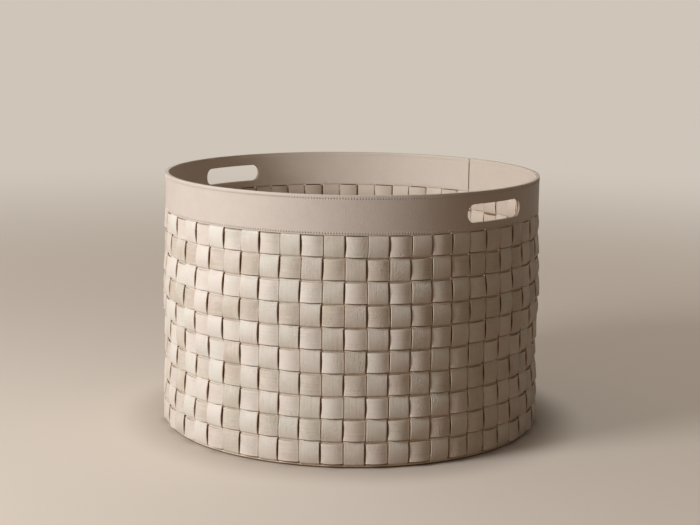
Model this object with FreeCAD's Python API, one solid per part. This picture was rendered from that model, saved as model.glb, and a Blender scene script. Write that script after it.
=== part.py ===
import FreeCAD, Part
import math
import os

from FreeCAD import Vector

# A round storage bin woven from flat leather straps, in millimetres, +Z up.
# The origin is the centre of the face that it stands on. The hand slots lie on the X axis
# and the butt seams of the rim bands on +Y. Angles count from -Y towards +X, in degrees.

# Overall size
rim_diameter = 508.0          # outside of the outer rim band
total_height = 342.0

# Straps and weave
strap_thickness = 1.8
hoop_width = 25.2
hoop_pitch = 29.1             # wanted step from hoop to hoop; the count follows the height
upright_width = 24.6
upright_pitch = 27.4          # wanted step around the wall; the count is kept even
crossing_gap = 0.3            # radial gap where two straps cross
hoop_crown = 1.0              # how far a hoop arches over an upright
upright_crown = 0.5
weave_phase = -1.3            # angle of one gap between uprights
butt_gap = 0.4                # gap between the two ends of one hoop
end_gap = 1.4                 # from the rim band down to the top hoop

# The wall isn't a true cylinder: it is fuller at the foot and waisted above it
wall_fullness_depth = 0.8     # added to the radius at which the rim holds the uprights
foot_flare_depth = 2.0
swell_depth = 1.2
swell_waves = 1.85            # waves between the base and the rim
swell_start = 0.1             # share of the wall height at the first crest

# Rim
band_height = 49.0
band_thickness = 1.4
layer_gap = 0.1               # glue line between the layers of the rim and of the base
upright_tuck = 8.0            # how far the uprights reach up between the bands
stiffener_clearance = 0.5     # from the uprights' ends up to the stiffener
slot_length = 104.5
slot_height = 23.5
slot_corner = 11.0
slot_depth = 27.5             # from the top edge down to the middle of the slot
seam_gap = 0.5

# Stitching, one thread line on each face of the rim at each edge
thread_width = 0.8
thread_thickness = 0.6
thread_proud = 0.15
thread_clearance = 0.05
top_stitch_inset = 4.0
bottom_stitch_inset = 2.6

# Base
outsole_thickness = 2.2
welt_thickness = 2.2
base_inset = 1.2              # base edge, inside the middle of the lowest hoop
tab_length = 22.0             # the part of each upright folded in under the board
bend_radius = 0.6             # inside of the fold
filler_clearance = 0.3
board_thickness = 4.0
board_clearance = 0.5         # around the board and its lining
lining_thickness = 1.2

# Heights of the layers of the base
tab_bottom = outsole_thickness + welt_thickness
tab_top = tab_bottom + strap_thickness
board_bottom = tab_top + layer_gap
board_top = board_bottom + board_thickness
lining_top = board_top + lining_thickness

# Radii of the layers of the rim
rim_radius = rim_diameter / 2
core_outer = rim_radius - band_thickness - layer_gap
core_inner = core_outer - strap_thickness
core_radius = (core_outer + core_inner) / 2
inner_band_outer = core_inner - layer_gap
rim_inner = inner_band_outer - band_thickness

# Heights of the rim
band_bottom = total_height - band_height
upright_top = band_bottom + upright_tuck
slot_middle = total_height - slot_depth

# Hoops, counted from the rim down
top_hoop_top = band_bottom - end_gap
low_hoop_bottom = tab_top + bend_radius
hoop_span = top_hoop_top - low_hoop_bottom
hoop_count = max(2, round((hoop_span - hoop_width) / hoop_pitch) + 1)
hoop_step = (hoop_span - hoop_width) / (hoop_count - 1)

# Uprights
upright_pairs = max(3, round(math.pi * core_radius / upright_pitch))
upright_count = 2 * upright_pairs
column_angle = 360 / upright_count
upright_angle = math.degrees(upright_width / core_radius)
crossing_offset = (strap_thickness + crossing_gap) / 2


def wall_radius(height):
    """Radius of the middle of the weave at a height."""
    share = (height - low_hoop_bottom) / hoop_span
    wave = math.cos(2 * math.pi * swell_waves * (share - swell_start))
    return core_radius + wall_fullness_depth + foot_flare_depth * (1 - share) + swell_depth * wave


def hoop_middle(row):
    return top_hoop_top - hoop_width / 2 - row * hoop_step


def upright_side(row, column):
    """+1 where the upright lies outside the hoop, -1 where it lies inside."""
    return 1 if (row + column) % 2 == 0 else -1


def polar(radius, angle):
    """Point in the XY plane at an angle from -Y towards +X."""
    turn = math.radians(angle)
    return Vector(radius * math.sin(turn), -radius * math.cos(turn), 0)


def outline_face(pieces):
    """Face inside a closed run of edges, each given by its 2 or 3 points."""
    edges = []
    for points in pieces:
        if len(points) == 3:
            edges.append(Part.Arc(*points).toShape())
        else:
            edges.append(Part.LineSegment(*points).toShape())
    return Part.Face(Part.Wire(edges))


def joined(pieces):
    """The pieces with a straight run from each one's end to the next one's start."""
    result = []
    for piece, following in zip(pieces, pieces[1:] + pieces[:1]):
        result.append(piece)
        if piece[-1].distanceToPoint(following[0]) > 1e-6:
            result.append((piece[-1], following[0]))
    return result


def backwards(pieces):
    return [tuple(reversed(piece)) for piece in reversed(pieces)]


def ring(inner, outer, bottom, top):
    """Plain ring or, with no inner radius, a disc."""
    body = Part.makeCylinder(outer, top - bottom, Vector(0, 0, bottom))
    if inner > 0:
        body = body.cut(Part.makeCylinder(inner, top - bottom, Vector(0, 0, bottom)))
    return body


def turned_strip(inner, outer, bottom, top):
    """Strip bent into a ring whose ends meet at +Y with the seam gap between them."""
    corners = [Vector(r, 0, z) for r, z in
               ((inner, bottom), (outer, bottom), (outer, top), (inner, top))]
    face = Part.Face(Part.makePolygon(corners + corners[:1]))
    half_gap = math.degrees(seam_gap / 2 / core_radius)
    face.rotate(Vector(0, 0, 0), Vector(0, 0, 1), 90 + half_gap)
    return face.revolve(Vector(0, 0, 0), Vector(0, 0, 1), 360 - 2 * half_gap)


def slot_cutter():
    """Bar along X with rounded corners that cuts both hand slots."""
    reach = rim_radius + band_thickness
    half_length = slot_length / 2 - slot_corner
    half_height = slot_height / 2 - slot_corner
    slant = slot_corner * math.sqrt(0.5)
    corners = []
    for side, rise in ((1, -1), (1, 1), (-1, 1), (-1, -1)):
        centre = Vector(-reach, side * half_length, slot_middle + rise * half_height)
        level = centre + Vector(0, 0, rise * slot_corner)
        upright_end = centre + Vector(0, side * slot_corner, 0)
        corner = (level, centre + Vector(0, side * slant, rise * slant), upright_end)
        corners.append(corner if side == -rise else corner[::-1])
    return outline_face(joined(corners)).extrude(Vector(2 * reach, 0, 0))


def thread_lines():
    """Name, inner and outer radius and height of each line of stitching."""
    top = total_height - top_stitch_inset
    bottom = band_bottom + bottom_stitch_inset
    sunk = thread_thickness - thread_proud
    lines = []
    for edge, height in (("top", top), ("bottom", bottom)):
        lines.append((f"rim_thread_{edge}_outer", rim_radius - sunk,
                      rim_radius + thread_proud, height))
        lines.append((f"rim_thread_{edge}_inner", rim_inner - thread_proud,
                      rim_inner + sunk, height))
    return lines


def thread_groove(inner, outer, height):
    half = thread_width / 2 + thread_clearance
    return ring(inner - thread_clearance, outer + thread_clearance, height - half, height + half)


def rim_parts():
    """The two facing bands, the stiffener between them and the stitching."""
    outer_band = turned_strip(core_outer + layer_gap, rim_radius, band_bottom, total_height)
    inner_band = turned_strip(rim_inner, inner_band_outer, band_bottom, total_height)
    stiffener = turned_strip(core_inner, core_outer, upright_top + stiffener_clearance,
                             total_height)
    slots = slot_cutter()
    parts = {}
    for name, inner, outer, height in thread_lines():
        half = thread_width / 2
        parts[name] = ring(inner, outer, height - half, height + half)
        groove = thread_groove(inner, outer, height)
        if name.endswith("outer"):
            outer_band = outer_band.cut(groove)
        else:
            inner_band = inner_band.cut(groove)
    parts["rim_band_outer"] = outer_band.cut(slots)
    parts["rim_band_inner"] = inner_band.cut(slots)
    parts["rim_stiffener"] = stiffener.cut(slots)
    return parts


def hoop_run(row, face_offset, start_column):
    """One face of a hoop, from its joint once round and back to its joint."""
    middle = wall_radius(hoop_middle(row))
    half_angle = upright_angle / 2
    half_butt = math.degrees(butt_gap / 2 / middle)

    def at(column, across):
        side = -upright_side(row, column)
        lift = crossing_offset + hoop_crown * (1 - across * across)
        angle = weave_phase + (column + 0.5) * column_angle + across * half_angle
        return polar(middle + side * lift + face_offset, angle)

    ends = half_butt / half_angle
    run = [(at(start_column, ends), at(start_column, 0.5), at(start_column, 1))]
    for column in range(start_column + 1, start_column + upright_count):
        run.append((at(column, -1), at(column, 0), at(column, 1)))
    last = start_column + upright_count
    run.append((at(last, -1), at(last, -0.5), at(last, -ends)))
    return run


def hoop(row):
    """Closed strap around the wall; its ends butt where an upright hides them outside."""
    start_column = 8 * row + row % 2
    outside = hoop_run(row, strap_thickness / 2, start_column)
    inside = hoop_run(row, -strap_thickness / 2, start_column)
    outline = outline_face(joined(joined(outside)[:-1] + backwards(joined(inside)[:-1])))
    bottom = hoop_middle(row) - hoop_width / 2
    outline.translate(Vector(0, 0, bottom))
    return outline.extrude(Vector(0, 0, hoop_width))


def upright_run(column, side):
    """One face of an upright, in the XZ plane, from its top down to the fold.

    side is +1 for the outer face and -1 for the inner one."""
    offset = side * strap_thickness / 2
    held = core_radius + offset
    run = [(Vector(held, 0, upright_top), Vector(held, 0, band_bottom))]
    half = hoop_width / 2
    for row in range(hoop_count):
        height = hoop_middle(row)
        out = upright_side(row, column)
        edge = wall_radius(height) + out * crossing_offset + offset
        crest = edge + out * upright_crown
        run.append((Vector(edge, 0, height + half), Vector(crest, 0, height),
                    Vector(edge, 0, height - half)))
    return run


def fold_corner(start, radius):
    """Quarter turn inwards from a point on the way down."""
    centre = start - Vector(radius, 0, 0)
    slant = radius * math.sqrt(0.5)
    return (start, centre + Vector(slant, 0, -slant), centre - Vector(0, 0, radius))


def upright(column):
    """Strap from between the rim bands, through the weave and in under the board."""
    outer = upright_run(column, 1)
    inner = upright_run(column, -1)
    outer_fold = fold_corner(outer[-1][-1], bend_radius + strap_thickness)
    inner_fold = fold_corner(inner[-1][-1], bend_radius)
    tab_end = base_radius - tab_length
    tab = (Vector(tab_end, 0, tab_bottom), Vector(tab_end, 0, tab_top))
    section = outline_face(joined(outer + [outer_fold, tab, inner_fold[::-1]] + backwards(inner)))
    start = weave_phase + (column + 0.5) * column_angle - upright_angle / 2
    section.rotate(Vector(0, 0, 0), Vector(0, 0, 1), start - 90)
    return section.revolve(Vector(0, 0, 0), Vector(0, 0, 1), upright_angle)


def base_parts():
    """Outsole, welt, filler, board and lining, from the floor up."""
    tab_end = base_radius - tab_length
    welt_inner = tab_end + filler_clearance
    filler_radius = tab_end - filler_clearance
    top_radius = low_radius - crossing_offset - hoop_crown - strap_thickness / 2 - board_clearance
    return {
        "base_outsole": ring(0, base_radius, 0, outsole_thickness),
        "base_welt": ring(welt_inner, base_radius, outsole_thickness, tab_bottom),
        "base_filler": ring(0, filler_radius, outsole_thickness, tab_top),
        "base_board": ring(0, top_radius, board_bottom, board_top),
        "base_lining": ring(0, top_radius, board_top, lining_top),
    }


low_radius = wall_radius(hoop_middle(hoop_count - 1))
base_radius = low_radius - base_inset

nodes = {}
nodes.update(rim_parts())
for row in range(hoop_count):
    nodes[f"hoop_{row + 1:02d}"] = hoop(row)
for pair in range(upright_pairs):
    both = [upright(2 * pair), upright(2 * pair + 1)]
    nodes[f"upright_pair_{pair + 1:02d}"] = Part.makeCompound(both)
nodes.update(base_parts())

os.makedirs("parts", exist_ok=True)
for name, shape in nodes.items():
    shape.exportStep(f"parts/{name}.step")
    box = shape.BoundBox
    print(f"{name}: {len(shape.Solids)} solids, valid {shape.isValid()}, "
          f"volume {shape.Volume:.0f}, z {box.ZMin:.2f} to {box.ZMax:.2f}, x to {box.XMax:.2f}")
print(f"hoops {hoop_count} every {hoop_step:.2f}, uprights {upright_count}")
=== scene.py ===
import bmesh
import bpy
import math
import random
from mathutils import Matrix, Vector, noise


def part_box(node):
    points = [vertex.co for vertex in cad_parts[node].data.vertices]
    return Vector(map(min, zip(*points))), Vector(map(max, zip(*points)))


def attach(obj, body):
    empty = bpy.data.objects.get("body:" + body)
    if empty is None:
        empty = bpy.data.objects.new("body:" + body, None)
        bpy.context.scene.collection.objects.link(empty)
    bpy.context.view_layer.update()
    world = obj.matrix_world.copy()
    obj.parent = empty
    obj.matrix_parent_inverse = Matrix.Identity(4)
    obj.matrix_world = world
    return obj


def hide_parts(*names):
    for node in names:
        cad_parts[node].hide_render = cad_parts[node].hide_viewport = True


# A round storage bin woven from flat ivory leather straps, in metres, +Z up, in the CAD's own
# frame: hand slots on X, the rim bands' butt seams on +Y. Angles count from -Y towards +X.

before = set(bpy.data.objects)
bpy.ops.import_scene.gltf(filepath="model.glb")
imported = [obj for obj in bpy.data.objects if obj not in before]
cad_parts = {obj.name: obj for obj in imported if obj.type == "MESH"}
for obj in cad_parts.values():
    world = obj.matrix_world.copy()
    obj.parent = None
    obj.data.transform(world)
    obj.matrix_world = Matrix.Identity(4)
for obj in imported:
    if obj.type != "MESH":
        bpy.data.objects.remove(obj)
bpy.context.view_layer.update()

MM = 0.001
HANDMADE_SEED = 27


def node_radii(node):
    """Least and greatest distance of a CAD node from the bin's axis."""
    lengths = [vertex.co.xy.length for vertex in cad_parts[node].data.vertices]
    return min(lengths), max(lengths)


# Sizes that the frame gives
HOOPS = sorted(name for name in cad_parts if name.startswith("hoop_"))
UPRIGHT_PAIRS = sorted(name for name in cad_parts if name.startswith("upright_pair_"))
BAND_BOTTOM, BAND_TOP = (corner.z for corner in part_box("rim_band_outer"))
OUTER_BAND = node_radii("rim_band_outer")[1]
INNER_BAND = node_radii("rim_band_inner")[1]
HOOP_MIDDLES = [sum(corner.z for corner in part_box(name)) / 2 for name in HOOPS]
HOOP_RADII = [sum(node_radii(name)) / 2 for name in HOOPS]
HOOP_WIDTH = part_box(HOOPS[0])[1].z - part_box(HOOPS[0])[0].z
HOOP_STEP = HOOP_MIDDLES[0] - HOOP_MIDDLES[1]
COLUMNS = 2 * len(UPRIGHT_PAIRS)
COLUMN_ANGLE = 2 * math.pi / COLUMNS
UPRIGHT_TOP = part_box(UPRIGHT_PAIRS[0])[1].z
TAB_END = node_radii(UPRIGHT_PAIRS[0])[0]
BASE_RADIUS = node_radii("base_outsole")[1]
WELT_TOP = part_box("base_welt")[1].z

# Sizes that the leather and the weave have
STRAP_THICKNESS = 1.8 * MM
STRAP_EASED = 0.45 * MM
BAND_THICKNESS = 1.4 * MM
UPRIGHT_WIDTH = 24.6 * MM
CROSSING_GAP = 0.3 * MM
CROSSING_OFFSET = (STRAP_THICKNESS + CROSSING_GAP) / 2
GLUE_LINE = 0.1 * MM
CORE_RADIUS = INNER_BAND + GLUE_LINE + STRAP_THICKNESS / 2
WEAVE_PHASE = math.radians(-1.3)
BEND_INSIDE = 0.6 * MM
FOLD_RADIUS = BEND_INSIDE + STRAP_THICKNESS / 2
SLOT_LENGTH = 104.5 * MM
SLOT_HEIGHT = 23.5 * MM
SLOT_CORNER = 11.0 * MM
SLOT_MIDDLE = BAND_TOP - 27.5 * MM
SEAM_GAP = 0.9 * MM
TOP_STITCHES = BAND_TOP - 4.0 * MM
BOTTOM_STITCHES = BAND_BOTTOM + 2.6 * MM
STITCH_PITCH = 3.5 * MM
STITCH_COUNT = round(2 * math.pi * OUTER_BAND / STITCH_PITCH)
CELL_LENGTH = COLUMN_ANGLE * CORE_RADIUS


def around(angle, radius, height=0.0):
    """Point at an angle from -Y towards +X."""
    return Vector((radius * math.sin(angle), -radius * math.cos(angle), height))


def new_object(name, data):
    thing = bpy.data.objects.new(name, data)
    bpy.context.scene.collection.objects.link(thing)
    return thing


# ---------------- camera and lamp

VIEW_ANGLE = math.radians(43.9)
CAMERA_DISTANCE = 8.186 * OUTER_BAND
CAMERA_HEIGHT = BAND_TOP + 0.954 * OUTER_BAND
CAMERA_PITCH = math.radians(10.07)
CAMERA_ROLL = math.radians(0.7)
FOCAL_LENGTH = 78.6
SENSOR_WIDTH = 36
LENS_SHIFT = -0.0021

KEY_ANGLE = VIEW_ANGLE - math.radians(57.2)
KEY_DISTANCE = 2.2
KEY_HEIGHT = 1.15
KEY_AIM = 0.2                 # height on the bin's axis that the lamp points at
KEY_SIZE = 0.9
KEY_WATTS = 41.5
DAYLIGHT = (0.985, 0.985, 1.0)


def make_camera():
    data = bpy.data.cameras.new("camera")
    data.lens = FOCAL_LENGTH
    data.sensor_width = SENSOR_WIDTH
    data.shift_x = LENS_SHIFT
    camera = new_object("camera", data)
    camera.location = around(VIEW_ANGLE, CAMERA_DISTANCE, CAMERA_HEIGHT)
    turn = (Matrix.Rotation(VIEW_ANGLE, 3, "Z") @ Matrix.Rotation(math.pi / 2 - CAMERA_PITCH, 3, "X")
            @ Matrix.Rotation(CAMERA_ROLL, 3, "Z"))
    camera.rotation_euler = turn.to_euler()
    bpy.context.scene.camera = camera


def make_key_lamp():
    """Soft daylight from the left, as through a window."""
    data = bpy.data.lights.new("key", "AREA")
    data.shape = "DISK"
    data.size = KEY_SIZE
    data.energy = KEY_WATTS
    data.color = DAYLIGHT
    lamp = new_object("key", data)
    lamp.location = around(KEY_ANGLE, KEY_DISTANCE, KEY_HEIGHT)
    aim = Vector((0, 0, KEY_AIM)) - lamp.location
    lamp.rotation_euler = aim.to_track_quat("-Z", "Y").to_euler()


# ---------------- node helpers

MATH = "ShaderNodeMath"
MIX = "ShaderNodeMix"
MAP_RANGE = "ShaderNodeMapRange"      # value, from min, from max, to min, to max
NOISE = "ShaderNodeTexNoise"


def linear(hex_colour):
    """sRGB hex to linear RGBA."""
    parts = [int(hex_colour[i:i + 2], 16) / 255 for i in (1, 3, 5)]
    return tuple(c / 12.92 if c <= 0.04045 else ((c + 0.055) / 1.055) ** 2.4 for c in parts) + (1,)


def feed(tree, node, inputs):
    """Gives a node its inputs, by name or in order: values, or nodes or sockets that feed them."""
    for key, value in inputs.items() if isinstance(inputs, dict) else enumerate(inputs):
        if isinstance(value, bpy.types.Node):
            tree.links.new(value.outputs[0], node.inputs[key])
        elif isinstance(value, bpy.types.NodeSocket):
            tree.links.new(value, node.inputs[key])
        else:
            node.inputs[key].default_value = value


def add_node(tree, kind, inputs=(), **settings):
    made = tree.nodes.new(kind)
    for name, value in settings.items():
        setattr(made, name, value)
    feed(tree, made, inputs)
    return made


def new_material(name, **shader_inputs):
    material = bpy.data.materials.new(name)
    material.use_nodes = True
    tree = material.node_tree
    tree.nodes.clear()
    shader = add_node(tree, "ShaderNodeBsdfPrincipled", shader_inputs)
    add_node(tree, "ShaderNodeOutputMaterial", {"Surface": shader})
    return material, tree, shader


# ---------------- materials

# Ivory dye: where it took darkest, its usual tone, and where it took palest
STRAP_SHADES = [linear(shade) for shade in ("#D2C9BA", "#E4DDD3", "#EEEAE2")]
BAND_SHADES = [linear(shade) for shade in ("#D1C6BB", "#DAD1C8", "#E2DAD1")]
LINING_SHADES = [linear(shade) for shade in ("#DDCFC1", "#E6DACE", "#ECE1D7")]
GREENISH_TINT = linear("#FBFEFB")
ROSY_TINT = linear("#FEFAF9")
FLESH_SIDE = linear("#E0D1C1")
# painted shade inside the band's needle holes
HOLE_SHADE_BROWN = linear("#5C4532")
# painted shade for the weave's gaps and squeezed corners, also used for the darker strip beside the
# rim's butt seams
SHADE_AND_SEAM_BROWN = linear("#8A6545")
CUT_EDGE_TAN = linear("#C9AA84")

# How large the leather's patterns are
CLOUD_LENGTH = 29.4 * MM
PATCH_LENGTH = 31 * MM
BLUSH_LENGTH = 40 * MM
MOTTLE_LENGTH = 3.2 * MM
WRINKLE_LENGTH = 2.1 * MM
PORE_LENGTH = 1.1 * MM
STRAP_LINE = (62.5 * MM, 1.786 * MM)   # along and across
BAND_LINE = 6.67 * MM
PATCH_EDGE = (0.50, 0.62)     # from smooth to wrinkled
GRAIN_DEPTH = 0.35 * MM
ROUGHNESS = (0.46, 0.60)
# How much each pattern counts in how pale the dye is, and the shade where none counts
CLOUD_SHARE = 0.62
MOTTLE_SHARE = 0.30
LINE_SHARE = 0.46
TONE_SHARE = 0.22
EVEN_SHADE = 0.68
SHADE_STOPS = (0.42, 0.65, 0.90)
BLUSH_EDGE = (0.36, 0.64)
BLUSH = 0.5                   # how far a strap's own hue may change along it

STRAP_LINE_DEPTH = 0.95
BAND_LINE_DEPTH = 0.2
STRAP_UNEVENNESS = 1.0        # how much of all patterns shows
BAND_UNEVENNESS = 0.45

# From a strap's middle: where its edge grows paler, partly its finish and partly painted highlight, and
# where its cut edge shows
PALE_EDGE_AND_HIGHLIGHT = (11.5 * MM, 12.0 * MM)
CUT_EDGE = (12.1 * MM, 12.3 * MM)
PALE_EDGE_AND_HIGHLIGHT_MOST = 0.5
CUT_EDGE_MOST = 0.7
PAINTED_SHADE_MOST = 0.9
SEAM_DARKENING_MOST = 0.85

HOLE_RADIUS = (0.5 * MM, 0.74 * MM)    # of a needle hole: its inside with painted shade, and with its rim
HOLE_DEPTH = 0.5 * MM
HOLE_SLIMNESS = 0.7           # its width as a share of its height
SEAM_DARKENING = (1.3 * MM, 0.8 * MM)      # from a butt seam: where its darker strip starts, and where it is full


def leather_surface(tree, shader, position, lines, line_depth, shades, unevenness):
    """Ivory dye, a little cloudy, over a fine grain that wrinkles in places.

    Real pores are too fine to show, so pores and wrinkles are drawn some three times as coarse.
    """
    clouds = add_node(tree, NOISE, {"Vector": position, "Scale": 1 / CLOUD_LENGTH, "Detail": 3})
    patches = add_node(tree, NOISE, {"Vector": position, "Scale": 1 / PATCH_LENGTH, "Detail": 1,
                                     "Roughness": 0.3})
    mottle = add_node(tree, NOISE, {"Vector": position, "Scale": 1 / MOTTLE_LENGTH, "Detail": 3})
    wrinkles = add_node(tree, NOISE, {"Vector": position, "Scale": 1 / WRINKLE_LENGTH, "Detail": 2,
                                      "Distortion": 1.2})
    pores = add_node(tree, "ShaderNodeTexVoronoi", {"Vector": position, "Scale": 1 / PORE_LENGTH},
                     feature="SMOOTH_F1")
    tone = add_node(tree, "ShaderNodeAttribute", attribute_name="tone")
    shade = add_node(tree, MATH, [clouds, CLOUD_SHARE], operation="MULTIPLY")
    for pattern, share in ((mottle, MOTTLE_SHARE), (lines, LINE_SHARE),
                           (tone.outputs["Fac"], TONE_SHARE)):
        shade = add_node(tree, MATH, [pattern, share, shade], operation="MULTIPLY_ADD")
    evened = add_node(tree, MATH, [shade, unevenness, EVEN_SHADE * (1 - unevenness)],
                      operation="MULTIPLY_ADD")
    ramp = add_node(tree, "ShaderNodeValToRGB", {"Fac": evened})
    ramp.color_ramp.elements[1].position = SHADE_STOPS[2]
    ramp.color_ramp.elements[0].position = SHADE_STOPS[0]
    ramp.color_ramp.elements.new(SHADE_STOPS[1])
    for element, dye in zip(ramp.color_ramp.elements, shades):
        element.color = dye
    rosy = add_node(tree, "ShaderNodeAttribute", attribute_name="rosy")
    blush = add_node(tree, NOISE, {"Vector": position, "Scale": 1 / BLUSH_LENGTH})
    most = BLUSH * unevenness ** 2
    blushed = add_node(tree, MAP_RANGE, [blush, *BLUSH_EDGE, -most, most])
    redness = add_node(tree, MATH, [rosy.outputs["Fac"], blushed], use_clamp=True)
    tint = add_node(tree, MIX, {"Factor": redness, 6: GREENISH_TINT, 7: ROSY_TINT}, data_type="RGBA")
    dyed = add_node(tree, MIX, {"Factor": 1.0, 6: ramp.outputs["Color"], 7: tint.outputs[2]},
                    data_type="RGBA", blend_type="MULTIPLY")
    smooth, wrinkled = 0.25 + 1.2 * (1 - unevenness), 2.7 - 2.1 * (1 - unevenness)
    patch = add_node(tree, MAP_RANGE, [patches, *PATCH_EDGE, smooth, wrinkled])
    up_and_down = add_node(tree, MATH, [wrinkles, 0.5], operation="SUBTRACT")
    creased = add_node(tree, MATH, [up_and_down, patch], operation="MULTIPLY")
    grained = add_node(tree, MATH, [pores, 0.25, creased], operation="MULTIPLY_ADD")
    height = add_node(tree, MATH, [lines, line_depth, grained], operation="MULTIPLY_ADD")
    bump = add_node(tree, "ShaderNodeBump", {"Height": height, "Distance": GRAIN_DEPTH})
    gloss = add_node(tree, MAP_RANGE, [clouds, 0.0, 1.0, *ROUGHNESS])
    feed(tree, shader, {"Normal": bump, "Roughness": gloss})
    return dyed.outputs[2], bump


def strap_leather():
    """Drum-dyed calf, flat and supple: satin, fine lines along the strap, edges paler partly as painted
    highlight, and painted shade where it lies under a crossing strap.
    """
    material, tree, shader = new_material("calf_strap_leather")
    position = add_node(tree, "ShaderNodeTexCoord").outputs["Object"]
    flat = add_node(tree, "ShaderNodeUVMap", uv_map="flat")
    drawn_out = add_node(tree, "ShaderNodeMapping",
                         {"Vector": flat, "Scale": (1 / STRAP_LINE[0], 1 / STRAP_LINE[1], 1)})
    lines = add_node(tree, NOISE, {"Vector": drawn_out, "Scale": 1.0, "Detail": 4})
    colour, _ = leather_surface(tree, shader, position, lines, STRAP_LINE_DEPTH, STRAP_SHADES,
                                STRAP_UNEVENNESS)
    flesh = add_node(tree, "ShaderNodeAttribute", attribute_name="flesh")
    across = add_node(tree, "ShaderNodeSeparateXYZ", [flat])
    off_middle = add_node(tree, MATH, [across.outputs["Y"]], operation="ABSOLUTE")
    edge = add_node(tree, MAP_RANGE, [off_middle, *PALE_EDGE_AND_HIGHLIGHT, 0.0, PALE_EDGE_AND_HIGHLIGHT_MOST])
    cut = add_node(tree, MAP_RANGE, [off_middle, *CUT_EDGE, 0.0, CUT_EDGE_MOST])
    # Painted shade where the strap lies under a crossing strap and in its squeezed corners
    tucked = add_node(tree, "ShaderNodeAttribute", attribute_name="tucked")
    dark = add_node(tree, MATH, [tucked.outputs["Fac"], PAINTED_SHADE_MOST], operation="MULTIPLY")
    # Over the dye: flesh side, a paler edge that is partly painted highlight, tan cut walls, and painted
    # shade
    for share, over in ((flesh.outputs["Fac"], FLESH_SIDE), (edge, STRAP_SHADES[2]),
                        (cut, CUT_EDGE_TAN), (dark, SHADE_AND_SEAM_BROWN)):
        colour = add_node(tree, MIX, {"Factor": share, 6: colour, 7: over}, data_type="RGBA").outputs[2]
    feed(tree, shader, {"Base Color": colour})
    return material


def band_leather(name, shades, hole_shade):
    """The rim's wider calf, pressed smooth, with needle holes along both rows of stitches, dented and
    given painted shade.
    """
    material, tree, shader = new_material(name)
    position = add_node(tree, "ShaderNodeTexCoord").outputs["Object"]
    faint = add_node(tree, NOISE, {"Vector": position, "Scale": 1 / BAND_LINE, "Detail": 3})
    colour, bump = leather_surface(tree, shader, position, faint, BAND_LINE_DEPTH, shades,
                                   BAND_UNEVENNESS)
    flat = add_node(tree, "ShaderNodeSeparateXYZ", [add_node(tree, "ShaderNodeUVMap", uv_map="flat")])
    step = 2 * math.pi * OUTER_BAND / STITCH_COUNT
    from_stitch = add_node(tree, MATH, [flat.outputs["X"], step / 2], operation="PINGPONG")
    beside = add_node(tree, MATH, [step / 2, from_stitch], operation="SUBTRACT")
    off_rows = []
    for row in (TOP_STITCHES, BOTTOM_STITCHES):
        above = add_node(tree, MATH, [flat.outputs["Y"], row], operation="SUBTRACT")
        off_rows.append(add_node(tree, MATH, [above], operation="ABSOLUTE"))
    off = add_node(tree, MATH, off_rows, operation="MINIMUM")
    awl = add_node(tree, MATH, [off, HOLE_SLIMNESS], operation="MULTIPLY")
    spot = add_node(tree, "ShaderNodeCombineXYZ", [beside, awl])
    reach = add_node(tree, "ShaderNodeVectorMath", [spot], operation="LENGTH")
    hole = add_node(tree, MAP_RANGE, [reach.outputs["Value"], *HOLE_RADIUS, 1.0, 0.0])
    along = add_node(tree, MATH, [flat.outputs["X"]], operation="ABSOLUTE")
    stain = [math.pi * OUTER_BAND - off_seam for off_seam in SEAM_DARKENING]
    beside_seam = add_node(tree, MAP_RANGE, [along, *stain, 0.0, SEAM_DARKENING_MOST])
    # The needle holes get painted shade; beside the butt seams the leather is darker
    for share, over in ((hole, hole_shade), (beside_seam, SHADE_AND_SEAM_BROWN)):
        colour = add_node(tree, MIX, {"Factor": share, 6: colour, 7: over}, data_type="RGBA").outputs[2]
    dent = add_node(tree, "ShaderNodeBump", {"Height": hole, "Normal": bump, "Distance": HOLE_DEPTH},
                    invert=True)
    feed(tree, shader, {"Base Color": colour, "Normal": dent})
    return material


def two_toned(name, shades, roughness, grain, detail, stops, relief, clouded=None):
    """A finish of two shades, mixed and raised by grain this wide, and clouded this far apart."""
    material, tree, shader = new_material(name, Roughness=roughness)
    position = add_node(tree, "ShaderNodeTexCoord").outputs["Object"]
    fine = add_node(tree, NOISE, {"Vector": position, "Scale": 1 / grain, "Detail": detail})
    mix = fine
    if clouded:
        clouds = add_node(tree, NOISE, {"Vector": position, "Scale": 1 / clouded, "Detail": 4})
        mix = add_node(tree, MATH, [fine, 0.4, clouds], operation="MULTIPLY_ADD")
    ramp = add_node(tree, "ShaderNodeValToRGB", {"Fac": mix})
    for element, stop, shade in zip(ramp.color_ramp.elements, stops, shades):
        element.position = stop
        element.color = linear(shade)
    feed(tree, shader, {"Base Color": ramp})
    if relief:
        bump = add_node(tree, "ShaderNodeBump", {"Height": fine, "Distance": relief})
        feed(tree, shader, {"Normal": bump})
    return material


# ---------------- mesh helpers

def mesh_from(work, name):
    """The plain mesh of a finished bmesh."""
    mesh = bpy.data.meshes.new(name)
    work.to_mesh(mesh)
    work.free()
    return mesh


def applied(thing):
    """A plain mesh of what the modifiers make; the object that carried them is removed."""
    depsgraph = bpy.context.evaluated_depsgraph_get()
    mesh = bpy.data.meshes.new_from_object(thing.evaluated_get(depsgraph))
    bpy.data.objects.remove(thing)
    return mesh


def facing_outwards(mesh):
    """Turns the faces of a closed mesh outwards and shades it smooth."""
    work = bmesh.new()
    work.from_mesh(mesh)
    if work.calc_volume(signed=True) < 0:
        bmesh.ops.reverse_faces(work, faces=work.faces)
    work.to_mesh(mesh)
    work.free()
    mesh.shade_smooth()
    return mesh


def finish_piece(name, mesh, material, slot, *nodes):
    """Turns a mesh into a finished piece that rides on the bin and stands in for these nodes."""
    piece = new_object(name, facing_outwards(mesh))
    if not mesh.materials:
        mesh.materials.append(material)
    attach(piece, "root")
    if nodes:
        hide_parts(*nodes)


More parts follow.
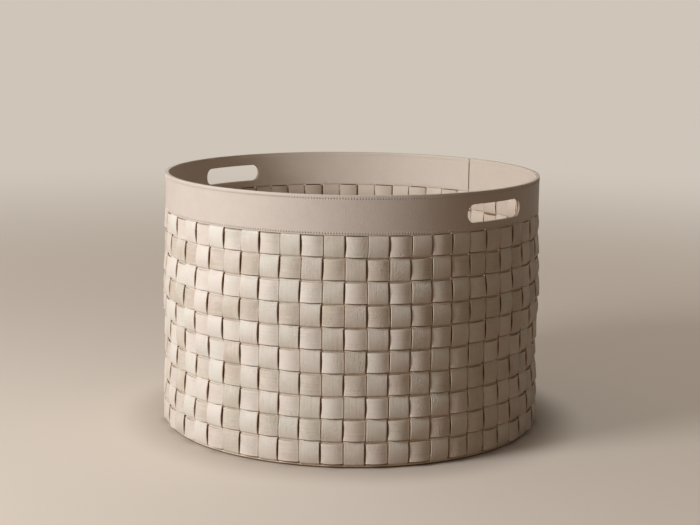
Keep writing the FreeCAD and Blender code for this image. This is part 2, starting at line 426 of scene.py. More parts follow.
def add_flat_map(mesh, tone, rosy):
    """Keeps each point's place on the flat leather as the UV map, and the piece's shade of dye."""
    flat = mesh.uv_layers.new(name="flat")
    for loop in mesh.loops:
        point = mesh.vertices[loop.vertex_index].co
        flat.data[loop.index].uv = (point.x, point.z)
    for name, value in (("tone", tone), ("rosy", rosy)):
        shade = mesh.attributes.new(name, "FLOAT", "POINT")
        shade.data.foreach_set("value", [value] * len(mesh.vertices))


# ---------------- wall

WALL = sorted([*zip(HOOP_MIDDLES, HOOP_RADII), (BAND_BOTTOM, CORE_RADIUS)])


def wall_radius(height):
    """Radius of the middle of the weave, smooth through the hoops and up to the rim."""
    if height <= WALL[0][0]:
        return WALL[0][1]
    if height >= WALL[-1][0]:
        return WALL[-1][1]
    last = len(WALL) - 1
    for i in range(last):
        if height <= WALL[i + 1][0]:
            break
    before, start, end, after = (WALL[max(0, min(last, k))][1] for k in (i - 1, i, i + 1, i + 2))
    t = (height - WALL[i][0]) / (WALL[i + 1][0] - WALL[i][0])
    return start + 0.5 * t * (end - before + t * (2 * before - 5 * start + 4 * end - after
                                                  + t * (3 * (start - end) + after - before)))


UNEVEN_LENGTH = 85 * MM       # how far apart the wall's slow waves are
UNEVEN = 1.1 * MM             # and how deep
DENT_LENGTH = 26 * MM         # the same for the small dents, about one strap wide
DENT = 0.3 * MM
HELD_BY_RIM = 30 * MM         # how far the rim steadies the wall
HELD_BY_BASE = 12 * MM

noise.seed_set(HANDMADE_SEED)


def uneven(point):
    """The wall's slow hand-made waves; all straps share them, so they stay clear of each other."""
    held = min(1, (BAND_BOTTOM - point.z) / HELD_BY_RIM, (point.z - WELT_TOP) / HELD_BY_BASE)
    if held <= 0:
        return point
    waves = noise.noise_vector(point / UNEVEN_LENGTH) * UNEVEN
    dents = noise.noise_vector(point / DENT_LENGTH) * DENT
    return point + (waves + dents) * held


def strap_section(width):
    """Closed outline of a strap's cut, thickness along X and width along Y, corners eased."""
    thickness, ease = STRAP_THICKNESS, STRAP_EASED
    flat = width / 2 - ease
    quarter = [(thickness / 2, y) for y in (0, 0.2 * width, 0.36 * width, flat - ease)]
    for turn in (0, 30, 60, 90):
        angle = math.radians(turn)
        quarter.append((thickness / 2 - ease + ease * math.cos(angle), flat + ease * math.sin(angle)))
    half = quarter + [(-x, y) for x, y in reversed(quarter)]
    points = half + [(-x, -y) for x, y in half[1:-1]]
    curve = bpy.data.curves.new("strap_section", "CURVE")
    curve.dimensions = "3D"
    spline = curve.splines.new("POLY")
    spline.points.add(len(points) - 1)
    for place, (x, y) in zip(spline.points, points):
        place.co = (x, y, 0, 1)
    spline.use_cyclic_u = True
    return new_object("strap_section", curve)


# ---------------- weave

HOOP_CROWN = 2.1 * MM
UPRIGHT_CROWN = 1.9 * MM
HOOP_TILT = -0.05             # straps lie like shingles: a hoop's lower edge stands a little proud
UPRIGHT_TILT = -0.02          # and so does an upright's left edge
CORNER_OVERLAP = 0.45 * MM    # how far neighbouring uprights lap where they pass in a corner
CUP = 0.25 * MM               # how much lower a strap's edges lie than its middle
TURN_LENGTH = 0.45            # share of the gap in which a strap turns from one side to the other
LATE_TURN = 0.5 * MM          # how much further a hoop's middle stays under than its edges
# How far past the middle of the gap a strap comes out, at the two ends of its outer crossings
HOOP_OPEN_TURN = 0.4 * MM
HOOP_TIGHT_TURN = -0.5 * MM
UPRIGHT_OPEN_TURN = -0.7 * MM
UPRIGHT_TIGHT_TURN = 0.6 * MM
# How much less of a tight end gets painted shade, and where from inside (-1) to outside (1) the painted
# shade starts
HOOP_TIGHT_SHOWN = 1.1
HOOP_DARK_FROM = 0.8
UPRIGHT_TIGHT_SHOWN = 1.8
UPRIGHT_DARK_FROM = -0.3
DARK_FADE = 0.75
# Where across a strap its corners get painted shade and its cut shows: squares of shares of the half
# width
CORNER_EDGE = (0.78, 0.95)
CUT_WALL = (0.93, 0.99)
# What each kind of strap adds to its tone of dye, and how rosy it is
HOOP_TONE = -0.1
HOOP_ROSINESS = 0.65
UPRIGHT_TONE = 0.3
UPRIGHT_ROSINESS = 0.35
# How far a strap may lie off its place, and how far a hoop may wander up and down
HOOP_OFF = 0.25 * MM
HOOP_WANDER = 0.3 * MM
UPRIGHT_OFF = 0.35 * MM
BUTT_GAP = 0.3 * MM           # between a hoop's two cut ends
STEPS_PER_CELL = 30
GAP_BETWEEN_UPRIGHTS = CELL_LENGTH - UPRIGHT_WIDTH


def new_tree(tree_name, **inputs):
    """An empty Geometry Nodes tree, and what it is given: names of inputs, by kind."""
    tree = bpy.data.node_groups.new(tree_name, "GeometryNodeTree")
    tree.interface.new_socket("Geometry", in_out="OUTPUT", socket_type="NodeSocketGeometry")
    for kind, names in inputs.items():
        for name in names:
            tree.interface.new_socket(name, in_out="INPUT", socket_type=f"NodeSocket{kind}")
    return tree, add_node(tree, "NodeGroupInput").outputs


def finished_tree(tree, geometry, material):
    """The tree, made to give this geometry as plain mesh in this material."""
    plain = add_node(tree, "GeometryNodeRealizeInstances", [geometry])
    dressed = add_node(tree, "GeometryNodeSetMaterial", {"Geometry": plain, "Material": material})
    add_node(tree, "NodeGroupOutput", [dressed])
    return tree


def weave_tree():
    """Geometry Nodes tree: a flat strap along X that rises over and dips under crossing straps."""
    tree, given = new_tree(
        "weave_strap", Object=["Section"], Material=["Leather"],
        Float=["Start", "End", "Step", "Cell Length", "Grip", "Foot", "Head", "Head End", "Crown",
               "Half Width", "Open Turn", "Late Turn", "Tight Turn", "Tight Shown", "Squeeze",
               "First Side", "Open End", "Dark From", "Tilt"])
    start = add_node(tree, "ShaderNodeCombineXYZ", {"X": given["Start"]})
    end = add_node(tree, "ShaderNodeCombineXYZ", {"X": given["End"]})
    line = add_node(tree, "GeometryNodeCurvePrimitiveLine", {"Start": start, "End": end})
    steps = add_node(tree, "GeometryNodeResampleCurve", {"Curve": line, "Length": given["Step"]},
                     mode="LENGTH")
    section = add_node(tree, "GeometryNodeObjectInfo", {"Object": given["Section"]})
    strap = add_node(tree, "GeometryNodeCurveToMesh",
                     {"Curve": steps, "Profile Curve": section.outputs["Geometry"], "Fill Caps": True})

    place = add_node(tree, "GeometryNodeInputPosition")
    along, out, across = add_node(tree, "ShaderNodeSeparateXYZ", [place]).outputs
    from_foot = add_node(tree, MATH, [along, given["Foot"]], operation="MAXIMUM")
    held = add_node(tree, MATH, [from_foot, given["Head"]], operation="MINIMUM")
    cells = add_node(tree, MATH, [held, given["Cell Length"]], operation="DIVIDE")
    cell = add_node(tree, MATH, [cells], operation="FLOOR")
    odd = add_node(tree, MATH, [cell, 2.0], operation="FLOORED_MODULO")
    turn = add_node(tree, MATH, [odd, -2.0, 1.0], operation="MULTIPLY_ADD")
    side = add_node(tree, MATH, [turn, given["First Side"]], operation="MULTIPLY")
    part = add_node(tree, MATH, [cells], operation="FRACT")
    centred = add_node(tree, MATH, [part, 2.0, -1.0], operation="MULTIPLY_ADD")
    off = add_node(tree, MATH, [centred], operation="ABSOLUTE")

    # Through the gap the strap turns from one side to the other. Where a crossing's end is left
    # open its middle turns later than its edges; at the tight end it turns against the next strap
    end_side = add_node(tree, MATH, [centred, side], operation="MULTIPLY")
    tight_end = add_node(tree, MATH, [end_side, given["Open End"]], operation="MULTIPLY")
    tight = add_node(tree, MATH, [tight_end, 0.0], operation="LESS_THAN")
    halves = add_node(tree, MATH, [across, given["Half Width"]], operation="DIVIDE")
    edge = add_node(tree, MATH, [halves, halves], operation="MULTIPLY")
    middle = add_node(tree, MATH, [1.0, edge], operation="SUBTRACT")
    open_turn = add_node(tree, MATH, [middle, given["Late Turn"], given["Open Turn"]],
                         operation="MULTIPLY_ADD")
    late = add_node(tree, MIX, {"Factor": tight, 2: open_turn, 3: given["Tight Turn"]})
    from_gap = add_node(tree, MATH, [1.0, off], operation="SUBTRACT")
    to_outside = add_node(tree, MATH, [from_gap, side], operation="MULTIPLY")
    turned = add_node(tree, MATH, [to_outside, late], operation="SUBTRACT")
    gap_half = add_node(tree, MATH, [1.0, given["Grip"]], operation="SUBTRACT")
    turn_half = add_node(tree, MATH, [gap_half, TURN_LENGTH], operation="MULTIPLY")
    turn_start = add_node(tree, MATH, [turn_half, -1.0], operation="MULTIPLY")
    turn_angle = add_node(tree, MAP_RANGE, [turned, turn_start, turn_half, -math.pi / 2, math.pi / 2])
    swing = add_node(tree, MATH, [turn_angle], operation="SINE")
    lift = add_node(tree, MATH, [swing, CROSSING_OFFSET], operation="MULTIPLY")

    # On a crossing it arches, and its edges lie lower than its middle
    inside = add_node(tree, MATH, [off, given["Grip"]], operation="DIVIDE", use_clamp=True)
    square = add_node(tree, MATH, [inside, inside], operation="MULTIPLY")
    arch = add_node(tree, MATH, [1.0, square], operation="SUBTRACT")
    cup = add_node(tree, MATH, [edge, CUP], operation="MULTIPLY")
    crown = add_node(tree, MATH, [given["Crown"], cup], operation="SUBTRACT")
    arched = add_node(tree, MATH, [arch, crown], operation="MULTIPLY")
    woven = add_node(tree, MATH, [arched, side, lift], operation="MULTIPLY_ADD")
    fade = add_node(tree, MAP_RANGE, [along, given["Head"], given["Head End"], 1.0, 0.0],
                    interpolation_type="SMOOTHSTEP")
    tilted = add_node(tree, MATH, [across, given["Tilt"], woven], operation="MULTIPLY_ADD")
    offset = add_node(tree, MATH, [tilted, fade], operation="MULTIPLY")

    # In the gap its edges are squeezed out towards the next strap and close the corner
    gap_share = add_node(tree, MAP_RANGE, [off, given["Grip"], 1.0], interpolation_type="SMOOTHSTEP")
    squeezed = add_node(tree, MATH, [gap_share, fade], operation="MULTIPLY")
    spread = add_node(tree, MATH, [squeezed, given["Squeeze"]], operation="MULTIPLY")
    aside = add_node(tree, MATH, [spread, halves], operation="MULTIPLY")
    move = add_node(tree, "ShaderNodeCombineXYZ", {"Y": offset, "Z": aside})

    # Faces that lie under a crossing strap, and the squeezed corners, get painted shade, kept as an
    # attribute. Outside, an end that lies tight against the next strap gets painted shade only on its
    # deepest part, and cut edges stay tan
    face = add_node(tree, MATH, [out], operation="SIGN")
    under = add_node(tree, MATH, [swing, face], operation="MULTIPLY")
    shown = add_node(tree, MATH, [tight, given["Tight Shown"], under], operation="MULTIPLY_ADD")
    dark_end = add_node(tree, MATH, [given["Dark From"], DARK_FADE], operation="SUBTRACT")
    hidden = add_node(tree, MAP_RANGE, [shown, given["Dark From"], dark_end],
                      interpolation_type="SMOOTHSTEP")
    rim = add_node(tree, MAP_RANGE, [edge, *CORNER_EDGE])
    corner = add_node(tree, MATH, [rim, squeezed], operation="MULTIPLY")
    has_corner = add_node(tree, MATH, [given["Squeeze"], 0.0], operation="GREATER_THAN")
    corners = add_node(tree, MATH, [corner, has_corner], operation="MULTIPLY")
    cut_wall = add_node(tree, MAP_RANGE, [edge, *CUT_WALL])
    outside = add_node(tree, MAP_RANGE, [swing, 0.0, 0.5])
    bare_wall = add_node(tree, MATH, [cut_wall, outside], operation="MULTIPLY")
    not_bare = add_node(tree, MATH, [1.0, bare_wall], operation="SUBTRACT")
    shaded = add_node(tree, MATH, [hidden, not_bare], operation="MULTIPLY")
    tucked = add_node(tree, MATH, [shaded, corners], operation="MAXIMUM")
    inner_face = add_node(tree, MATH, [out, -STRAP_THICKNESS / 3], operation="LESS_THAN")
    for name, value in (("tucked", tucked), ("flesh", inner_face)):
        strap = add_node(tree, "GeometryNodeStoreNamedAttribute",
                         {"Geometry": strap, "Name": name, "Value": value}, data_type="FLOAT",
                         domain="POINT")
    moved = add_node(tree, "GeometryNodeSetPosition", {"Geometry": strap, "Offset": move})
    return finished_tree(tree, moved, given["Leather"])


def made_by_nodes(tree, **values):
    """Plain mesh of a Geometry Nodes tree with these inputs, by name, with _ for a space."""
    carrier = new_object("carrier", bpy.data.meshes.new("carrier"))
    modifier = carrier.modifiers.new("nodes", "NODES")
    modifier.node_group = tree
    names = {item.name: item.identifier for item in tree.interface.items_tree}
    for name, value in values.items():
        modifier[names[name.replace("_", " ")]] = value
    return applied(carrier)


def upright_side(row, column):
    """+1 where the upright lies outside the hoop, -1 where it lies inside."""
    return 1 if (row + column) % 2 == 0 else -1


def make_hoop(row, tree, section, leather, chance):
    """A strap round the wall, cut and butted where an upright hides it from outside.

    It has neither a foot nor a head, so both lie out of reach.
    """
    start_column = 8 * row + row % 2
    start = (start_column + 0.5) * CELL_LENGTH
    mesh = made_by_nodes(
        tree, Start=start, End=start + COLUMNS * CELL_LENGTH - BUTT_GAP,
        Step=CELL_LENGTH / STEPS_PER_CELL, Cell_Length=CELL_LENGTH, Grip=UPRIGHT_WIDTH / CELL_LENGTH,
        Foot=-1.0, Head=9.0, Head_End=10.0, Crown=HOOP_CROWN, Half_Width=HOOP_WIDTH / 2,
        Open_Turn=2 * HOOP_OPEN_TURN / CELL_LENGTH, Late_Turn=2 * LATE_TURN / CELL_LENGTH,
        Tight_Turn=2 * HOOP_TIGHT_TURN / CELL_LENGTH, Tight_Shown=HOOP_TIGHT_SHOWN, Squeeze=0.0,
        First_Side=float(-upright_side(row, 0)), Open_End=-1.0, Dark_From=HOOP_DARK_FROM,
        Tilt=HOOP_TILT, Section=section, Leather=leather)
    add_flat_map(mesh, chance.uniform(-1, 1) + HOOP_TONE, HOOP_ROSINESS)
    lift, tilt, turn = (chance.uniform(-1, 1) for _ in range(3))
    for vertex in mesh.vertices:
        flat = vertex.co
        angle = WEAVE_PHASE + flat.x / CELL_LENGTH * COLUMN_ANGLE
        height = (HOOP_MIDDLES[row] + flat.z + lift * HOOP_OFF
                  + tilt * HOOP_WANDER * math.sin(angle + 3 * turn))
        vertex.co = uneven(around(angle, wall_radius(height) + flat.y, height))
    finish_piece(f"strap_{HOOPS[row]}", mesh, leather, "ivory_leather", HOOPS[row])


def folded(flat, foot, side_at_foot):
    """Radius and height of a point on an upright, turned in under the base below its foot."""
    beyond = foot - flat.x
    if beyond <= 0:
        return wall_radius(flat.x) + flat.y, flat.x
    lift = side_at_foot * CROSSING_OFFSET
    centre = wall_radius(foot) + lift - FOLD_RADIUS
    across = FOLD_RADIUS + flat.y - lift
    turn = min(math.pi / 2, beyond / FOLD_RADIUS)
    inwards = max(0, beyond - FOLD_RADIUS * math.pi / 2)
    return centre + across * math.cos(turn) - inwards, foot - across * math.sin(turn)


def make_uprights(pair, tree, section, leather, chance):
    """Two neighbouring uprights, from between the rim bands to their folded ends."""
    foot = HOOP_MIDDLES[-1] - HOOP_WIDTH / 2
    origin = HOOP_MIDDLES[-1] - HOOP_STEP / 2
    fold_length = FOLD_RADIUS * math.pi / 2 + BASE_RADIUS - TAB_END
    pieces = []
    for column in (2 * pair, 2 * pair + 1):
        low_side = upright_side(len(HOOPS) - 1, column)
        mesh = made_by_nodes(
            tree, Start=foot - origin - fold_length, End=UPRIGHT_TOP - origin,
            Step=HOOP_STEP / STEPS_PER_CELL, Cell_Length=HOOP_STEP, Grip=HOOP_WIDTH / HOOP_STEP,
            Foot=foot - origin, Head=HOOP_MIDDLES[0] + HOOP_WIDTH / 2 - origin,
            Head_End=BAND_BOTTOM - origin, Crown=UPRIGHT_CROWN, Half_Width=UPRIGHT_WIDTH / 2,
            Open_Turn=2 * UPRIGHT_OPEN_TURN / HOOP_STEP, Late_Turn=0.0,
            Tight_Turn=2 * UPRIGHT_TIGHT_TURN / HOOP_STEP, Tight_Shown=UPRIGHT_TIGHT_SHOWN,
            Squeeze=GAP_BETWEEN_UPRIGHTS / 2 + CORNER_OVERLAP, First_Side=float(low_side),
            Open_End=1.0, Dark_From=UPRIGHT_DARK_FROM, Tilt=UPRIGHT_TILT, Section=section,
            Leather=leather)
        add_flat_map(mesh, chance.uniform(-1, 1) + UPRIGHT_TONE, UPRIGHT_ROSINESS)
        shift, lean = (chance.uniform(-1, 1) * UPRIGHT_OFF for _ in range(2))
        middle = WEAVE_PHASE + (column + 0.5) * COLUMN_ANGLE
        for vertex in mesh.vertices:
            flat = vertex.co.copy()
            flat.x += origin
            radius, height = folded(flat, foot, low_side)
            aside = flat.z + shift + lean * (height / BAND_BOTTOM - 0.5)
            vertex.co = uneven(around(middle + aside / CORE_RADIUS, radius, height))
        pieces.append(mesh)
    work = bmesh.new()
    for mesh in pieces:
        work.from_mesh(mesh)
    work.to_mesh(pieces[0])
    work.free()
    finish_piece(f"strap_{UPRIGHT_PAIRS[pair]}", pieces[0], leather, "ivory_leather",
                 UPRIGHT_PAIRS[pair])


# ---------------- rim

SLOT_REACH = SLOT_LENGTH / 2 + 9 * MM     # half the part of the sheet that is made round a slot
SLOT_RISE = SLOT_HEIGHT / 2 + 5 * MM
WIDE_STEP = 5 * MM
FINE_STEP = 2 * MM
ROWS_AT_STITCHES = [off * MM for off in (-1.2, -0.5, 0, 0.5, 1.2)]
BAND_EASED = 0.4 * MM


def spaced(start, end, step):
    """Even steps from start up to, and not with, end."""
    count = max(1, round((end - start) / step))
    return [start + (end - start) * i / count for i in range(count)]


def band_columns():
    """Places along the band, closer together round the two hand slots."""
    half_round = math.pi * OUTER_BAND
    places = []
    left = -half_round + SEAM_GAP / 2
    for middle in (-half_round / 2, half_round / 2):
        places += spaced(left, middle - SLOT_REACH, WIDE_STEP)
        places += spaced(middle - SLOT_REACH, middle + SLOT_REACH, FINE_STEP)
        left = middle + SLOT_REACH
    right = half_round - SEAM_GAP / 2
    return places + spaced(left, right, WIDE_STEP) + [right]


def band_rows():
    """Heights on the band: close at the edges and over the two stitch lines."""
    rows = [line + off for line in (BOTTOM_STITCHES, TOP_STITCHES) for off in ROWS_AT_STITCHES]
    between = spaced(BOTTOM_STITCHES + ROWS_AT_STITCHES[-1], TOP_STITCHES + ROWS_AT_STITCHES[0],
                     FINE_STEP)
    return sorted([BAND_BOTTOM, *rows, *between[1:], BAND_TOP])


def slot_point(x, z, reach_x, reach_z):
    """Point on the slot's rounded outline for a point on the rectangle around it."""
    x *= SLOT_LENGTH / 2 / reach_x
    z *= SLOT_HEIGHT / 2 / reach_z
    corner = Vector((abs(x) - SLOT_LENGTH / 2 + SLOT_CORNER, abs(z) - SLOT_HEIGHT / 2 + SLOT_CORNER))
    if corner.x > 0 and corner.y > 0:
        corner = corner.normalized() * SLOT_CORNER
        x = math.copysign(SLOT_LENGTH / 2 - SLOT_CORNER + corner.x, x)
        z = math.copysign(SLOT_HEIGHT / 2 - SLOT_CORNER + corner.y, z)
    return x, z


def band_sheet():
    """Flat sheet of the rim band in the XZ plane, with its two hand slots, as one grid."""
    sheet = bmesh.new()
    columns, rows = band_columns(), band_rows()
    grid = [[sheet.verts.new((x, 0, z)) for z in rows] for x in columns]
    middles = [-math.pi * OUTER_BAND / 2, math.pi * OUTER_BAND / 2]
    for i in range(len(columns) - 1):
        for k in range(len(rows) - 1):
            x, z = (columns[i] + columns[i + 1]) / 2, (rows[k] + rows[k + 1]) / 2
            if min(abs(x - m) for m in middles) < SLOT_REACH and abs(z - SLOT_MIDDLE) < SLOT_RISE:
                continue
            sheet.faces.new((grid[i][k], grid[i + 1][k], grid[i + 1][k + 1], grid[i][k + 1]))
    # The rectangle left open round each slot is closed in with rings that end on its outline
    for middle in middles:
        edges = [edge for edge in sheet.edges if edge.is_boundary and all(
            abs(v.co.x - middle) < SLOT_REACH + MM and abs(v.co.z - SLOT_MIDDLE) < SLOT_RISE + 3 * MM
            for v in edge.verts)]
        far_x = max(abs(v.co.x - middle) for edge in edges for v in edge.verts)
        far_z = [max(sign * (v.co.z - SLOT_MIDDLE) for edge in edges for v in edge.verts)
                 for sign in (1, -1)]
        rings = {}
        for vertex in {v for edge in edges for v in edge.verts}:
            x, z = vertex.co.x - middle, vertex.co.z - SLOT_MIDDLE
            target = slot_point(x, z, far_x, far_z[0] if z > 0 else far_z[1])
            ring = [vertex]
            for share in (0.45, 0.8, 1.0):
                ring.append(sheet.verts.new((middle + x + (target[0] - x) * share, 0,
                                             SLOT_MIDDLE + z + (target[1] - z) * share)))
            rings[vertex] = ring
        for edge in edges:
            first, second = (rings[v] for v in edge.verts)
            for level in range(3):
                sheet.faces.new((first[level], second[level], second[level + 1], first[level + 1]))
    loose = [vertex for vertex in sheet.verts if not vertex.link_faces]
    bmesh.ops.delete(sheet, geom=loose, context="VERTS")
    bmesh.ops.recalc_face_normals(sheet, faces=sheet.faces)
    return mesh_from(sheet, "band_sheet")


def make_band(name, node, middle_radius, leather, paint):
    """Rim band: the sheet given its thickness, eased at its edges and bent into a ring."""
    carrier = new_object(name, band_sheet())
    solid = carrier.modifiers.new("thickness", "SOLIDIFY")
    solid.thickness = BAND_THICKNESS
    solid.offset = 0
    solid.material_offset_rim = 1
    ease = carrier.modifiers.new("eased edges", "BEVEL")
    ease.width = BAND_EASED
    ease.segments = 3
    ease.limit_method = "ANGLE"
    ease.angle_limit = math.radians(50)
    carrier.data.materials.append(leather)
    carrier.data.materials.append(paint)
    mesh = applied(carrier)
    add_flat_map(mesh, tone=0.0, rosy=0.5)
    for vertex in mesh.vertices:
        flat = vertex.co
        vertex.co = around(flat.x / OUTER_BAND, middle_radius + flat.y, flat.z)
    finish_piece(name, mesh, leather, "ivory_leather", node)


def lathe(name, outline, steps, to_axis):
    """Ring turned from this closed (radius, height) outline, anticlockwise, or a solid disc whose
    edge it is, from its underside to its top.
    """
    work = bmesh.new()
    rings = [[work.verts.new(around(2 * math.pi * i / steps, r, z)) for r, z in outline]
             for i in range(steps)]
    for ring, ahead in zip(rings, rings[1:] + rings[:1]):
        for k in range(0 if to_axis else -1, len(outline) - 1):
            work.faces.new((ring[k], ahead[k], ahead[k + 1], ring[k + 1]))
    if to_axis:
        low, high = (work.verts.new((0, 0, outline[k][1])) for k in (0, -1))
        for ring, ahead in zip(rings, rings[1:] + rings[:1]):
            work.faces.new((low, ahead[0], ring[0]))
            work.faces.new((high, ring[-1], ahead[-1]))
    return mesh_from(work, name)


BASE_EDGE_RING = 8 * MM       # the outermost part of a base disc, where its edge is shaped


def make_base_disc(name, node, undercut, ease, leather):
    """A disc of the base, its edge eased this high at its underside and its top, and undercut."""
    low, high = (corner.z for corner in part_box(node))
    radius = node_radii(node)[1]
    edge = [(radius - BASE_EDGE_RING, low)]
    for centre, start in ((low + ease[0], -90), (high - ease[1], 0)):
        round_by = ease[0] if start < 0 else ease[1]
        inwards = undercut if start < 0 else round_by
        for turn in range(start, start + 91, 18):
            angle = math.radians(turn)
            edge.append((radius - inwards + inwards * math.cos(angle),
                         centre + round_by * math.sin(angle)))
    mesh = lathe(name, edge + [(radius - BASE_EDGE_RING, high)], 300, to_axis=True)
    finish_piece(name, mesh, leather, "ivory_leather", node)


STITCH_HALF = 1.1 * MM
STITCH_SUNK = 0.5 * MM        # how deep its ends dip
THREAD_RADIUS = 0.5 * MM
THREAD_PRESSED = (0.6, 1.6)   # its height and width as shares of that
THREAD_SIDES = 6
THREAD_PROUD = 0.02 * MM


def stitch_mesh():
    """One stitch along X, outwards along Y: a thread that dips into a needle hole at each end."""
    work = bmesh.new()
    rings = []
    for share in (-1, -0.75, 0, 0.75, 1):
        sunk = -STITCH_SUNK * share ** 4
        thick = THREAD_RADIUS * (0.7 if abs(share) == 1 else 1)
        rings.append([work.verts.new((STITCH_HALF * share,
                                      sunk + THREAD_PRESSED[0] * thick * math.cos(a),
                                      thick * THREAD_PRESSED[1] * math.sin(a)))
                      for a in (2 * math.pi * k / THREAD_SIDES for k in range(THREAD_SIDES))])
    for near, far in zip(rings, rings[1:]):
        for k in range(THREAD_SIDES):
            m = (k + 1) % THREAD_SIDES
            work.faces.new((near[k], near[m], far[m], far[k]))
    work.faces.new(reversed(rings[0]))
    work.faces.new(rings[-1])
    return new_object("stitch", mesh_from(work, "stitch"))


def stitch_tree():
    """Geometry Nodes tree: a ring of stitches that face away from the bin's axis, or towards it."""
    tree, given = new_tree("stitch_ring", Int=["Count"], Float=["Radius", "Height", "Facing"],
                           Object=["Stitch"], Material=["Thread"])
    circle = add_node(tree, "GeometryNodeMeshCircle",
                      {"Vertices": given["Count"], "Radius": given["Radius"]})
    place = add_node(tree, "GeometryNodeInputPosition")
    out = add_node(tree, "ShaderNodeVectorMath", {0: place, "Scale": given["Facing"]}, operation="SCALE")
    turn = add_node(tree, "FunctionNodeAlignRotationToVector", {"Vector": out}, axis="Y", pivot_axis="Z")
    stitch = add_node(tree, "GeometryNodeObjectInfo", {"Object": given["Stitch"]})
    row = add_node(tree, "GeometryNodeInstanceOnPoints",
                   {"Points": circle, "Instance": stitch.outputs["Geometry"], "Rotation": turn})
    up = add_node(tree, "ShaderNodeCombineXYZ", {"Z": given["Height"]})
    raised = add_node(tree, "GeometryNodeTransform", {"Geometry": row, "Translation": up})
    return finished_tree(tree, raised, given["Thread"])


def make_stitching(thread):
    stitch, tree = stitch_mesh(), stitch_tree()
    outer, inner = OUTER_BAND + THREAD_PROUD, INNER_BAND - BAND_THICKNESS - THREAD_PROUD
    for edge, height in (("top", TOP_STITCHES), ("bottom", BOTTOM_STITCHES)):
        for face, radius, facing in (("outer", outer, 1.0), ("inner", inner, -1.0)):
            mesh = made_by_nodes(tree, Count=STITCH_COUNT, Radius=radius, Height=height,
                                 Facing=facing, Stitch=stitch, Thread=thread)
            finish_piece(f"stitches_{edge}_{face}", mesh, thread, "thread",
                         f"rim_thread_{edge}_{face}")
    bpy.data.objects.remove(stitch)


PAINT_PROUD = 0.03 * MM       # past the bands' two faces
PAINT_SHOULDER = 0.5 * MM     # from the top down to where its dome starts
PAINT_DOME = 0.6 * MM
PAINT_ROOT = 1.0 * MM         # from the top down to where it ends between the bands


def make_rim_edge(paint):
    """The paint that closes the rim's three layers into one softly domed edge."""
    inner = INNER_BAND - BAND_THICKNESS - PAINT_PROUD
    outer = OUTER_BAND + PAINT_PROUD
    middle, half = (inner + outer) / 2, (outer - inner) / 2
    dome = []
    for degrees in range(0, 181, 15):
        angle = math.radians(degrees)
        dome.append((middle + half * math.cos(angle),
                     BAND_TOP - PAINT_SHOULDER + PAINT_DOME * math.sin(angle) ** 0.5))
    mesh = lathe("rim_edge_paint", dome + [(middle, BAND_TOP - PAINT_ROOT)], 360, to_axis=False)
    finish_piece("rim_edge_paint", mesh, paint, "ivory_leather")


# ---------------- making

make_camera()
make_key_lamp()

calf = strap_leather()
band = band_leather("calf_band_leather", BAND_SHADES, HOLE_SHADE_BROWN)
lining = band_leather("calf_lining_leather", LINING_SHADES, LINING_SHADES[0])
# Leather edge paint: smooth, a little glossier than the grain side; cream on the rim, and left
# the raw edge's own brown in the slots
painted = {"roughness": 0.42, "grain": 4.17 * MM, "detail": 3, "stops": (0.3, 0.7),
           "relief": 0.05 * MM}
rim_paint = two_toned("rim_edge_paint", ("#F2EADF", "#FAF4EB"), **painted)
slot_paint = two_toned("slot_edge_paint", ("#A8937E", "#B8A48F"), **painted)
# Split leather of the base, matte with an even nap, drawn coarse enough to show: ochre inside,
# a paler welt, and a sole painted dark brown as painted shade under the welt
napped = {"roughness": 0.85, "grain": 1.11 * MM, "detail": 4, "stops": (0.45, 0.95),
          "relief": 0.15 * MM, "clouded": 71.4 * MM}
split = two_toned("split_base_leather", ("#D8C4A6", "#E9DAC1"), **napped)
welt = two_toned("pale_welt_leather", ("#E6D8C2", "#F3E8D6"), **napped)
sole = two_toned("dark_sole_painted_shade", ("#6E533B", "#80654B"), **napped)
# Bonded polyester thread of three plies, a shade paler than the leather; the plies are drawn
# coarse enough to show
thread = two_toned("bonded_thread", ("#F0E7DA", "#FDF9F1"), roughness=0.5, grain=0.455 * MM,
                   detail=2, stops=(0.0, 1.0), relief=0.08 * MM)
# Raw pressed fibreboard: flecked brown, dull
board = two_toned("raw_fibreboard", ("#7E5F40", "#9C7B58"), roughness=0.9, grain=1.67 * MM,
                  detail=5, stops=(0.35, 0.65), relief=0)

chance = random.Random(HANDMADE_SEED)
weave = weave_tree()
hoop_section = strap_section(HOOP_WIDTH)
for row in range(len(HOOPS)):
    make_hoop(row, weave, hoop_section, calf, chance)
upright_section = strap_section(UPRIGHT_WIDTH)
for pair in range(len(UPRIGHT_PAIRS)):
    make_uprights(pair, weave, upright_section, calf, chance)
bpy.data.objects.remove(hoop_section)
bpy.data.objects.remove(upright_section)

make_band("band_outer", "rim_band_outer", OUTER_BAND - BAND_THICKNESS / 2, band, slot_paint)
make_band("band_inner", "rim_band_inner", INNER_BAND - BAND_THICKNESS / 2, lining, slot_paint)
make_stitching(thread)
make_rim_edge(rim_paint)
make_base_disc("outsole", "base_outsole", undercut=4 * MM, ease=(1.9 * MM, 0.3 * MM), leather=sole)
make_base_disc("welt", "base_welt", undercut=0.4 * MM, ease=(0.4 * MM, 1.1 * MM), leather=welt)

# The solids that stay as they are
for node, material in (("rim_stiffener", slot_paint), ("base_lining", split),
                       ("base_board", board), ("base_filler", board)):
    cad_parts[node].data.materials.clear()
    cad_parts[node].data.materials.append(material)


# ---------------- studio

BACKDROP = linear("#CFC5B9")
FLOOR_BOUNCE = linear("#997D63")      # the floor as the bin is lit by it
FLOOR_RADIUS = 12
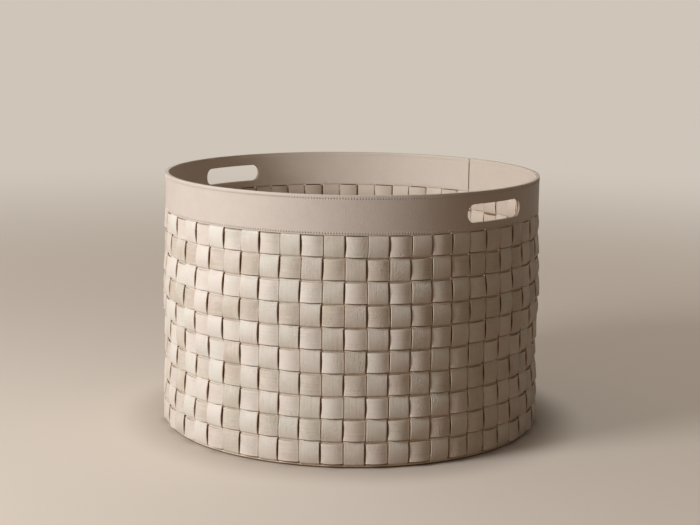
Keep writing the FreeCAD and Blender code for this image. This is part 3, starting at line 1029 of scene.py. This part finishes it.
# The floor glows less beside the bin: painted contact shadow
FLOOR_GLOW = (0.02, 0.3)      # beside the bin, and clear of it
CONTACT_SHADE_REACH = 0.08             # how far from the base that is
FADE_OUT = (0.7, 3.2)         # where the floor starts and ends turning into the surround
ROOM_LIGHT = (0.262, 0.206, 0.160, 1)
WINDOW_ANGLE = VIEW_ANGLE - math.radians(90)
BRIGHTER_AT_WINDOW = 0.80     # how much brighter the room is on the window's side, and duller across
DULLER_OVERHEAD = -0.40


def background_share(tree):
    """1 where the background is seen, also in metal or through glass, and 0 where it lights."""
    path = add_node(tree, "ShaderNodeLightPath")
    share = path.outputs["Is Camera Ray"]
    for ray in ("Is Glossy Ray", "Is Transmission Ray"):
        share = add_node(tree, MATH, [share, path.outputs[ray]], operation="MAXIMUM")
    return share


def make_studio():
    """Pale floor that fades into an even pale surround, its glow dimmed round the base as painted
    contact shadow; the bounce on the bin is duller.
    """
    material, tree, shader = new_material("floor_paint", Roughness=0.9)
    seen = background_share(tree)
    paint = add_node(tree, MIX, {"Factor": seen, 6: FLOOR_BOUNCE, 7: BACKDROP}, data_type="RGBA")
    place = add_node(tree, "ShaderNodeTexCoord").outputs["Object"]
    away = add_node(tree, "ShaderNodeVectorMath", [place], operation="LENGTH")
    # Painted contact shadow: the glow is least at the base and full this far from it
    clear = add_node(tree, MAP_RANGE, [away.outputs["Value"], BASE_RADIUS, BASE_RADIUS + CONTACT_SHADE_REACH,
                                       *FLOOR_GLOW], interpolation_type="SMOOTHSTEP")
    glow = add_node(tree, MATH, [seen, clear], operation="MULTIPLY")
    feed(tree, shader, {"Base Color": paint.outputs[2], "Emission Color": BACKDROP,
                        "Emission Strength": glow})
    far = add_node(tree, MAP_RANGE, [away.outputs["Value"], *FADE_OUT], interpolation_type="SMOOTHSTEP")
    faded = add_node(tree, MATH, [far, seen], operation="MULTIPLY")
    surround = add_node(tree, "ShaderNodeEmission", {"Color": BACKDROP})
    mixed = add_node(tree, "ShaderNodeMixShader", [faded, shader, surround])
    feed(tree, tree.nodes["Material Output"], {"Surface": mixed})
    bpy.ops.mesh.primitive_circle_add(vertices=96, radius=FLOOR_RADIUS, fill_type="NGON")
    floor = bpy.context.object
    floor.name = "floor"
    floor.data.materials.append(material)
    world = bpy.data.worlds.new("studio")
    world.use_nodes = True
    tree = world.node_tree
    tree.nodes.clear()
    seen = background_share(tree)
    colour = add_node(tree, MIX, {"Factor": seen, 6: ROOM_LIGHT, 7: BACKDROP}, data_type="RGBA")
    direction = add_node(tree, "ShaderNodeTexCoord").outputs["Generated"]
    to_window = add_node(tree, "ShaderNodeVectorMath", [direction, around(WINDOW_ANGLE, 1)],
                         operation="DOT_PRODUCT")
    upwards = add_node(tree, "ShaderNodeSeparateXYZ", [direction])
    overhead = add_node(tree, MATH, [upwards.outputs["Z"], DULLER_OVERHEAD, 1.0],
                        operation="MULTIPLY_ADD")
    lit = add_node(tree, MATH, [to_window.outputs["Value"], BRIGHTER_AT_WINDOW, overhead],
                   operation="MULTIPLY_ADD")
    strength = add_node(tree, MIX, {"Factor": seen, 2: lit, 3: 1.0})
    light = add_node(tree, "ShaderNodeBackground", {"Color": colour.outputs[2], "Strength": strength})
    add_node(tree, "ShaderNodeOutputWorld", {"Surface": light})
    bpy.context.scene.world = world
    bpy.context.scene.view_settings.view_transform = "Standard"


make_studio()
